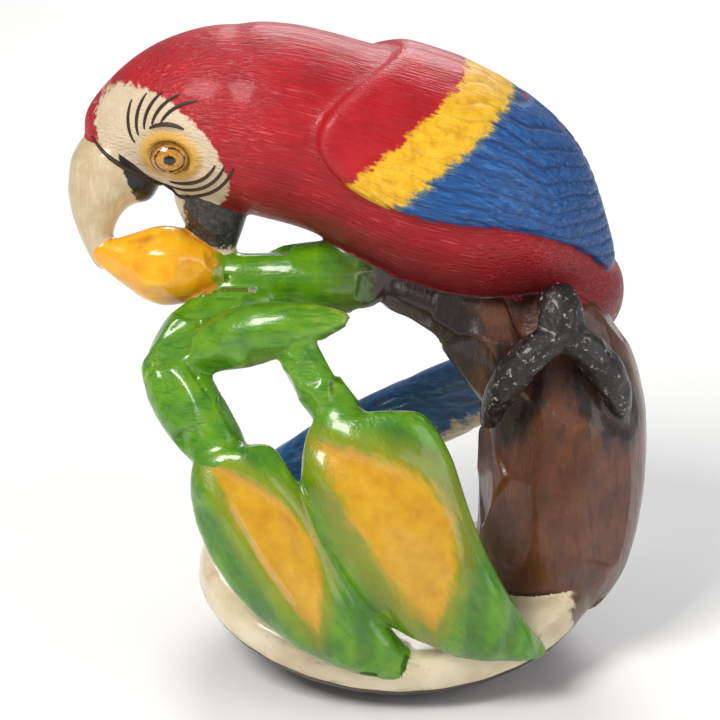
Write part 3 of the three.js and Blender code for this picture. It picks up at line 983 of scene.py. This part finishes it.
def branch_finish():
    paint = Finish("stained_branch", 0.3, coat=0.4)
    upright = paint.stretched(paint.position, (1, 1, 0.3))
    clouds = paint.noise(3.0 * mm, detail=4)
    streaks = paint.noise(0.8 * mm, upright, detail=5, rough=0.65)
    specks = paint.noise(0.25 * mm, detail=3, rough=0.7)
    stain = paint.ramp(clouds, (0.2, stain_dark), (0.5, stain_brown),
                       (0.8, stain_light))
    stain = paint.over(paint.between(streaks, 0.5, 0.34, 0, 0.5), stain, grain_dark)
    stain = paint.over(paint.between(specks, 0.62, 0.74, 0, 0.35), stain, speck_tan)
    ragged = paint.ragged(paint.noise(1.3 * mm, upright, detail=5), 5.0)
    shade = paint.plus(paint.attribute("shade"), ragged)
    # stained near black round the claws, with painted shade under the bird
    stain = paint.over(paint.between(shade, 1.0, -1.0, 0, 0.95), stain, stain_and_shade_black)
    # painted shade darkens the hollows of the knife cuts
    hollow = paint.between(paint.attribute("bulge"), -0.02, -0.10, 0, 0.8)
    stain = paint.over(hollow, stain, hollow_shade_dark)
    edge = paint.between(paint.attribute("bulge"), 0.08, 0.16, 0, 0.3)
    stain = paint.over(edge, stain, ridge_tan)
    return paint.done(stain, paint.between(streaks, 0.3, 0.7, 0.42, 0.24), streaks, relief=0.12 * mm)


branch = lifted("brown_branch")
mark_bulge(branch)
faceted(branch, "brown_branch", facet_count, facet_seed, facet_reach)
branch_points = mesh_points(branch.data)
claw_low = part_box("left_foot")[0]
under_bird = (branch_points[:, 0] - claw_low.x) / mm
near_claws = away_from(branch_points, "left_foot", "right_foot") / mm - dark_reach
set_attribute(branch, "shade", np.minimum(under_bird, near_claws))
finished(branch, "brown_paint", branch_finish(), "branch")

# --- Feet -----------------------------------------------------------------------------------------
# The claws are left proud of the branch they clasp and painted black, with pale glints on
# their ridges that are partly paint rubbed off and partly a painted highlight.


claw_black = (0.004, 0.003, 0.003)
claw_brown = (0.016, 0.010, 0.008)
claw_glint = (0.42, 0.40, 0.38)


def claw_finish():
    paint = Finish("black_claws", 0.36, coat=0.3)
    mottle = paint.noise(0.5 * mm, detail=5, rough=0.7)
    black = paint.ramp(mottle, (0.35, claw_black), (0.7, claw_brown))
    ridges = paint.between(paint.attribute("bulge"), 0.02, 0.18, 0.1, 0.9)
    # painted highlight: pale glints on the ridges, partly paint rubbed off
    glints = paint.times(paint.between(mottle, 0.56, 0.68), ridges)
    return paint.done(paint.over(glints, black, claw_glint), height=mottle, relief=0.12 * mm)


black_claws = claw_finish()
claw_facets = {"left": 40, "right": 30}
claw_facet_reach = 0.2 * mm
for side, count in claw_facets.items():
    claws = lifted(side + "_claws")
    faceted(claws, side + "_claws", count, facet_seed, claw_facet_reach)
    mark_bulge(claws)
    finished(claws, "black_paint", black_claws, side + "_foot")

# --- Fruit ----------------------------------------------------------------------------------------
# The fruit in the beak is painted a warm yellow and varnished, and its tip is nipped by the
# beak. Its hollows turn orange as painted shade.


fruit_deep = (0.72, 0.30, 0.006)
fruit_bright = (0.86, 0.46, 0.012)
fruit_hollow_shade = (0.45, 0.14, 0.004)
fruit_green = (0.18, 0.25, 0.01)


def fruit_finish():
    paint = Finish("yellow_fruit", 0.18, coat=0.7)
    clouds = paint.noise(1.8 * mm, detail=4)
    yellow = paint.ramp(clouds, (0.3, fruit_deep), (0.7, fruit_bright))
    # painted shade: the yellow deepens to orange in the hollows
    hollow = paint.between(paint.attribute("bulge"), 0.02, -0.08, 0, 0.75)
    yellow = paint.over(hollow, yellow, fruit_hollow_shade)
    ragged = paint.ragged(paint.noise(0.6 * mm, detail=4), 2.0)
    stalk_end = paint.plus(paint.attribute("stalk_end"), ragged)
    yellow = paint.over(paint.between(stalk_end, 0.7, 0.0), yellow, fruit_green)
    return paint.done(yellow, height=clouds, relief=0.15 * mm)


fruit_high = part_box("fruit")[1]
fruit_facets = 26
fruit_facet_reach = 0.22 * mm
yellow_fruit = lifted("yellow_fruit")
set_attribute(yellow_fruit, "stalk_end", (fruit_high.x - mesh_points(yellow_fruit.data)[:, 0]) / mm - 0.3)
faceted(yellow_fruit, "yellow_fruit", fruit_facets, facet_seed, fruit_facet_reach)
mark_bulge(yellow_fruit)
finished(yellow_fruit, "yellow_paint", fruit_finish(), "fruit")

# --- Fruit stem and leaf stalk ----------------------------------------------------------------------
# Green stems run from the fruit back to the branch and forward to the leaves. The knife left
# them in long flats, and the green is rubbed thin and painted with a highlight on the ridges,
# and darkened as painted shade in the hollows.

stem_low, stem_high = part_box("fruit_stem")
stem_facets = 26
stem_facet_reach = 0.25 * mm
stalk_facets = 60
stalk_facet_reach = 0.28 * mm


dark_green = (0.040, 0.17, 0.003)
middle_green = (0.080, 0.25, 0.004)
light_green = (0.14, 0.32, 0.006)
streak_green = (0.014, 0.12, 0.004)
hollow_shade_green = (0.008, 0.07, 0.002)
rubbed_and_highlit_green = (0.40, 0.52, 0.10)


def green_finish(name, marks=None):
    """Leaf-green paint, darkened in hollows as painted shade and rubbed pale on ridges with a painted
    highlight; marks adds a finish's own paint.
    """
    paint = Finish(name, 0.24, coat=0.6)
    clouds = paint.noise(2.2 * mm, detail=4)
    grain = paint.attribute("grain", "Vector")
    streaks = paint.noise(0.55, paint.stretched(grain, (0.16, 1, 1)), detail=5, rough=0.6)
    green = paint.ramp(clouds, (0.3, dark_green), (0.5, middle_green), (0.72, light_green))
    green = paint.over(paint.between(streaks, 0.48, 0.34, 0, 0.5), green, streak_green)
    # painted shade darkens the green in the hollows
    hollow = paint.between(paint.attribute("bulge"), -0.05, -0.2, 0, 0.4)
    green = paint.over(hollow, green, hollow_shade_green)
    # pale ridges: partly rubbed paint, partly a painted highlight
    ridges = paint.between(paint.attribute("bulge"), 0.07, 0.16)
    rubbed_and_highlit = paint.times(ridges, paint.between(streaks, 0.45, 0.65))
    green = paint.over(paint.times(rubbed_and_highlit, 0.55), green, rubbed_and_highlit_green)
    if marks is not None:
        green = marks(paint, green, streaks)
    height = paint.plus(streaks, paint.times(paint.noise(0.3 * mm, detail=2), 0.3))
    return paint.done(green, paint.between(clouds, 0.3, 0.7, 0.34, 0.2), height, relief=0.09 * mm)


def along_line(points, start, end):
    """Straightened place along a line: distance along it and two ways across, in millimetres."""
    forward = (end - start).normalized()
    sideways = forward.cross(Vector((0, 1, 0))).normalized()
    frame_of_line = np.array([forward, sideways, forward.cross(sideways)])
    return (points - np.array(start)) @ frame_of_line.T / mm


dull_stem = (0.05, 0.055, 0.02)
brown_stem = (0.03, 0.014, 0.008)


def stem_marks(paint, green, streaks):
    """The stem goes dull, then brown, where it grows out of the branch."""
    ragged = paint.ragged(paint.noise(0.9 * mm, detail=5), 5.0)
    end = paint.plus(paint.attribute("branch_end"), ragged)
    green = paint.over(paint.between(end, 6.5, 4.0, 0, 0.55), green, dull_stem)
    return paint.over(paint.between(end, 2.6, 1.2), green, brown_stem)


green_stem = lifted("green_stem")
stem_points = mesh_points(green_stem.data)
stem_end = Vector((stem_high.x, stem_low.y, stem_low.z))
set_attribute(green_stem, "grain", along_line(stem_points, Vector(stem_low), stem_end))
set_attribute(green_stem, "branch_end", (stem_high.x - stem_points[:, 0]) / mm)
mark_bulge(green_stem)
faceted(green_stem, "green_stem", stem_facets, facet_seed, stem_facet_reach)
finished(green_stem, "green_paint", green_finish("green_stem", stem_marks), "fruit_stem")

bent_stalk = lifted("bent_stalk")
set_attribute(bent_stalk, "grain", mesh_points(bent_stalk.data) / mm)
mark_bulge(bent_stalk)
faceted(bent_stalk, "bent_stalk", stalk_facets, facet_seed, stalk_facet_reach)
stalk_nodes = ("leaf_stalk", "left_petiole", "right_petiole")
finished(bent_stalk, "green_paint", green_finish("green_stalk"), *stalk_nodes)

# --- Leaves ---------------------------------------------------------------------------------------
# Two broad leaves hang against the nut. Each is hollowed along its middle with a gouge, which
# leaves a rolled rim, and the hollow is painted ochre yellow with green streaks over its edge.

trough_depth = 0.7 * mm
trough_edge = 0.12  # how softly the trough's side rounds over
fold_depth = 0.32 * mm
fold_spacing = 4.4  # millimetres
front_fade = 1.5  # how soon the cuts die away round a leaf's edge

deep_ochre = (0.50, 0.24, 0.004)
bright_ochre = (0.64, 0.36, 0.012)
ochre_in_green = (0.30, 0.27, 0.004)


def leaf_yellow(paint, green, streaks):
    """The ochre heart of a leaf, feathered out into the green."""
    blotches = paint.noise(1.6 * mm, detail=4)
    ragged = paint.ragged(streaks, 0.5)
    ragged = paint.plus(ragged, paint.ragged(blotches, 0.5))
    heart = paint.plus(paint.attribute("heart"), ragged)
    ochre = paint.ramp(blotches, (0.3, deep_ochre), (0.7, bright_ochre))
    lime = paint.over(0.55, green, ochre_in_green)
    green = paint.over(paint.between(heart, 1.1, 0.3), green, lime)
    return paint.over(paint.between(heart, 0.3, -0.12), green, ochre)


leaf_paint = green_finish("leaf_green", leaf_yellow)

heart_share = 0.15  # half the heart's width, as a share of the leaf's
heart_shift = 0.1  # how far it lies towards the fruit, as a share of the same width
heart_bow = 0.12  # how far its middle bows out, as a share of the same width
heart_bow_still = 0.4  # where the bow crosses the straight line, squared
heart_span = 0.7  # how far down the leaf it reaches


def leaf_ends(node):
    """The middles of the highest and lowest tenths of a leaf's solid."""
    points = node_triangles(node)[0]
    low, high = np.percentile(points[:, 2], (10, 90))
    return [Vector(points[chosen].mean(axis=0)) for chosen in (points[:, 2] > high, points[:, 2] < low)]


for name, node in (("left_blade", "left_leaf"), ("right_blade", "right_leaf")):
    top, tip = leaf_ends(node)
    blade = lifted(name)
    points = mesh_points(blade.data)
    grain = along_line(points, top, tip)
    leaf_across = np.ptp(grain[:, 1])
    along = 2 * grain[:, 0] / (heart_span * (tip - top).length / mm) - 1
    bowed_across = grain[:, 1] + leaf_across * (heart_shift + heart_bow * (along ** 2 - heart_bow_still))
    heart = np.abs(bowed_across) / (heart_share * leaf_across) + along ** 2 - 1
    trough = 1 / (1 + np.exp(heart / trough_edge))
    folds = 0.5 + 0.5 * np.cos(2 * math.pi * bowed_across / fold_spacing)
    front = np.clip(-mesh_normals(blade.data)[:, 1] * front_fade, 0, 1)
    set_attribute(blade, "grain", grain)
    set_attribute(blade, "heart", heart)
    cut = trough_depth * trough + fold_depth * folds * (1 - trough)
    push(blade, -front * cut * clear_of_others(blade, name))
    mark_bulge(blade)
    finished(blade, "green_paint", leaf_paint, node)

# --- Base -----------------------------------------------------------------------------------------
# The bottom of the nut is the foot of the carving: a dished slab of bare, polished nut that
# keeps a rim of its own dark skin underneath.


nut_shade = (0.52, 0.42, 0.27)
nut_cream = (0.66, 0.56, 0.38)
nut_pale = (0.76, 0.68, 0.50)
nut_speck = (0.34, 0.22, 0.11)
green_drip = (0.10, 0.26, 0.01)
stain_run = (0.075, 0.024, 0.011)


def base_finish():
    paint = Finish("bare_nut", 0.26, coat=0.4)
    clouds = paint.noise(4 * mm, detail=5)
    fine = paint.noise(0.5 * mm, detail=4)
    nut = paint.ramp(clouds, (0.3, nut_shade), (0.5, nut_cream), (0.75, nut_pale))
    nut = paint.over(paint.between(fine, 0.6, 0.72, 0, 0.3), nut, nut_speck)
    drips = paint.noise(1.1 * mm, paint.stretched(paint.position, (0.3, 1, 1)), detail=4)
    stain = paint.plus(paint.attribute("near_green"), paint.times(drips, -5.0))
    nut = paint.over(paint.between(stain, -2.2, -3.4, 0, 0.8), nut, green_drip)
    brown = paint.plus(paint.attribute("near_trunk"), paint.times(drips, 3.0))
    nut = paint.over(paint.between(brown, 2.0, 1.2, 0, 0.95), nut, stain_run)
    return paint.done(nut, height=clouds, relief=0.2 * mm)


bark_black = (0.020, 0.010, 0.006)
bark_brown = (0.055, 0.024, 0.012)
bark_tan = (0.16, 0.08, 0.04)
bark_green = (0.060, 0.20, 0.004)


def bark_finish():
    paint = Finish("nut_bark", 0.45, coat=0.15)
    clouds = paint.noise(1.6 * mm, detail=5)
    bark = paint.ramp(clouds, (0.3, bark_black), (0.6, bark_brown), (0.8, bark_tan))
    bark = paint.over(paint.between(paint.attribute("near_green"), 0.9, 0.6), bark, bark_green)
    return paint.done(bark, height=clouds, relief=0.2 * mm)


trunk_stain = 5  # how far, in millimetres, the branch's stain runs over the end of the base
ivory_base = lifted("ivory_base")
base_points = mesh_points(ivory_base.data)
leaf_index = [list(elements).index(name) for name in ("left_blade", "right_blade")]
near_green = sampled(np.where(np.isin(owner, leaf_index), closest, second), base_points) / mm
set_attribute(ivory_base, "near_green", near_green)
before_trunk = ((branch_low.x + branch_high.x) / 2 + trunk_stain * mm - base_points[:, 0]) / mm
near_trunk = away_from(base_points, "branch") / mm - trunk_stain
set_attribute(ivory_base, "near_trunk", np.maximum(near_trunk, before_trunk))
finished(ivory_base, "ivory", base_finish(), "nut_base")

bark_rim = lifted("bark_rim")
set_attribute(bark_rim, "near_green", away_from(mesh_points(bark_rim.data), "left_leaf", "right_leaf") / mm)
finished(bark_rim, "nut_skin", bark_finish(), "nut_skin")

# --- Studio ---------------------------------------------------------------------------------------
# A pale table top under soft lights, and the camera at the carving's left side.

middle = (Vector(cad_box[0]) + Vector(cad_box[1])) / 2


floor_mesh = bpy.data.meshes.new("table_top")
floor_half = 0.6
floor_mesh.from_pydata([(-floor_half, -floor_half, 0), (floor_half, -floor_half, 0),
                        (floor_half, floor_half, 0), (-floor_half, floor_half, 0)], [], [(0, 1, 2, 3)])
table_top = bpy.data.objects.new("table_top", floor_mesh)
bpy.context.scene.collection.objects.link(table_top)
table_shade = (0.82, 0.82, 0.81)
table_white = (0.86, 0.86, 0.85)
table_paint = Finish("pale_table", 0.7)
mottle = table_paint.noise(0.05)
table_top.data.materials.append(table_paint.done(
    table_paint.ramp(mottle, (0.0, table_shade), (1.0, table_white))))


def soft_light(name, place, size, power, tint=(1, 1, 1)):
    """A square soft box aimed at the middle of the carving."""
    lamp = bpy.data.lights.new(name, "AREA")
    lamp.size = size
    lamp.energy = power
    lamp.color = tint
    made = bpy.data.objects.new(name, lamp)
    made.location = place
    made.rotation_euler = (middle - made.location).to_track_quat("-Z", "Y").to_euler()
    bpy.context.scene.collection.objects.link(made)


soft_light("key_light", Vector((-0.16, -0.22, 0.30)), 0.14, 1.3, (1, 0.97, 0.93))
soft_light("fill_light", Vector((0.30, -0.22, 0.16)), 0.25, 0.4)
soft_light("back_light", Vector((0.05, 0.30, 0.26)), 0.2, 0.8)

world = bpy.data.worlds.new("pale_room")
world.use_nodes = True
world.node_tree.nodes["Background"].inputs["Color"].default_value = (0.95, 0.96, 1.0, 1)
world.node_tree.nodes["Background"].inputs["Strength"].default_value = 0.34
bpy.context.scene.world = world
bpy.context.scene.view_settings.view_transform = "Standard"

tilt = math.radians(20)
camera_distance = 0.2555
camera_lens = 150
aim = Vector((0, 0, 0.0261))
lens = bpy.data.cameras.new("camera")
lens.lens = camera_lens
lens.clip_start = 0.01
camera = bpy.data.objects.new("camera", lens)
camera.location = aim + camera_distance * Vector((0, -math.cos(tilt), math.sin(tilt)))
camera.rotation_euler = (math.pi / 2 - tilt, 0, 0)
bpy.context.scene.collection.objects.link(camera)
bpy.context.scene.camera = camera
